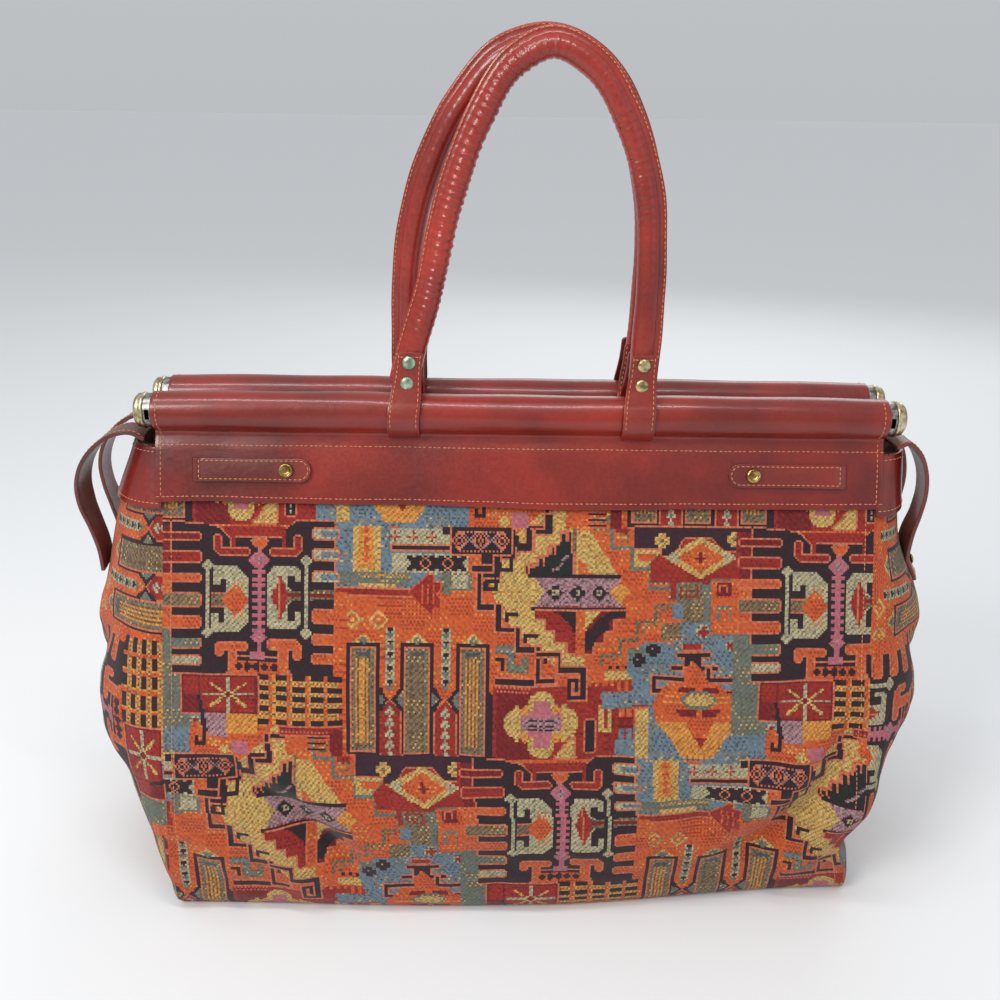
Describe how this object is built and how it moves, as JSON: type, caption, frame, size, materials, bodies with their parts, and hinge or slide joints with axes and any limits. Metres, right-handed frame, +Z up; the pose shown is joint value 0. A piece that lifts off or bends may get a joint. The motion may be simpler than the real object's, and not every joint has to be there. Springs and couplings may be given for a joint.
{
  "type": "carpet bag",
  "caption": "Stand-up tapestry carpet bag that opens between two leather-covered bars, with two rolled leather handles, snap tabs and end straps.",
  "frame": {"origin": "middle of the underside of the base, on the ground", "axes": "+X to the right end along the bars, -Y out of the front face with the snap tabs, +Z up"},
  "size_m": [0.646, 0.225, 0.6123],
  "materials": {
    "tapestry": "woven jacquard, matt",
    "leather": "polished, semi-gloss",
    "brass": "worn, satin",
    "steel": "plated, bright",
    "board": "matt"
  },
  "bodies": {
    "base": {"base_panel": "tapestry", "base_board": "board", "left_gusset": "tapestry", "left_gusset_leather": "leather", "left_strap_studs": "brass", "left_front_strap": "leather", "left_back_strap": "leather", "right_gusset": "tapestry", "right_gusset_leather": "leather", "right_strap_studs": "brass", "right_front_strap": "leather", "right_back_strap": "leather"},
    "front_side": {"front_fabric_panel": "tapestry", "front_leather_band": "leather", "front_bar_tube": "steel", "front_left_cap": "brass", "front_right_cap": "brass", "tab_studs": "brass"},
    "back_side": {"back_fabric_panel": "tapestry", "back_leather_band": "leather", "back_bar_tube": "steel", "back_left_cap": "brass", "back_right_cap": "brass"},
    "front_handle": {"front_handle_grip": "leather", "front_handle_left_loop": "leather", "front_handle_right_loop": "leather", "front_handle_rivets": "brass"},
    "back_handle": {"back_handle_grip": "leather", "back_handle_left_loop": "leather", "back_handle_right_loop": "leather", "back_handle_rivets": "brass"},
    "left_tab_leather": {"left_tab": "leather", "left_tab_snap": "brass"},
    "right_tab_leather": {"right_tab": "leather", "right_tab_snap": "brass"}
  },
  "joints": [
    {"name": "front_side_opens", "type": "hinge", "parent": "base", "child": "front_side", "pos_m": [0, -0.106, 0.0034], "axis": [1, 0, 0], "range_deg": [0, 12]},
    {"name": "back_side_opens", "type": "hinge", "parent": "base", "child": "back_side", "pos_m": [0, 0.106, 0.0034], "axis": [-1, 0, 0], "range_deg": [0, 12]},
    {"name": "front_handle_drops", "type": "hinge", "parent": "front_side", "child": "front_handle", "pos_m": [0, -0.021, 0.36], "axis": [1, 0, 0], "range_deg": [0, 120]},
    {"name": "back_handle_drops", "type": "hinge", "parent": "back_side", "child": "back_handle", "pos_m": [0, 0.021, 0.36], "axis": [-1, 0, 0], "range_deg": [0, 120]},
    {"name": "left_tab_lifts", "type": "hinge", "parent": "front_side", "child": "left_tab_leather", "pos_m": [-0.225, -0.03608, 0.322], "axis": [0, -0.3389, -0.9408], "range_deg": [0, 80]},
    {"name": "right_tab_lifts", "type": "hinge", "parent": "front_side", "child": "right_tab_leather", "pos_m": [0.225, -0.03608, 0.322], "axis": [0, 0.3389, 0.9408], "range_deg": [0, 80]}
  ]
}
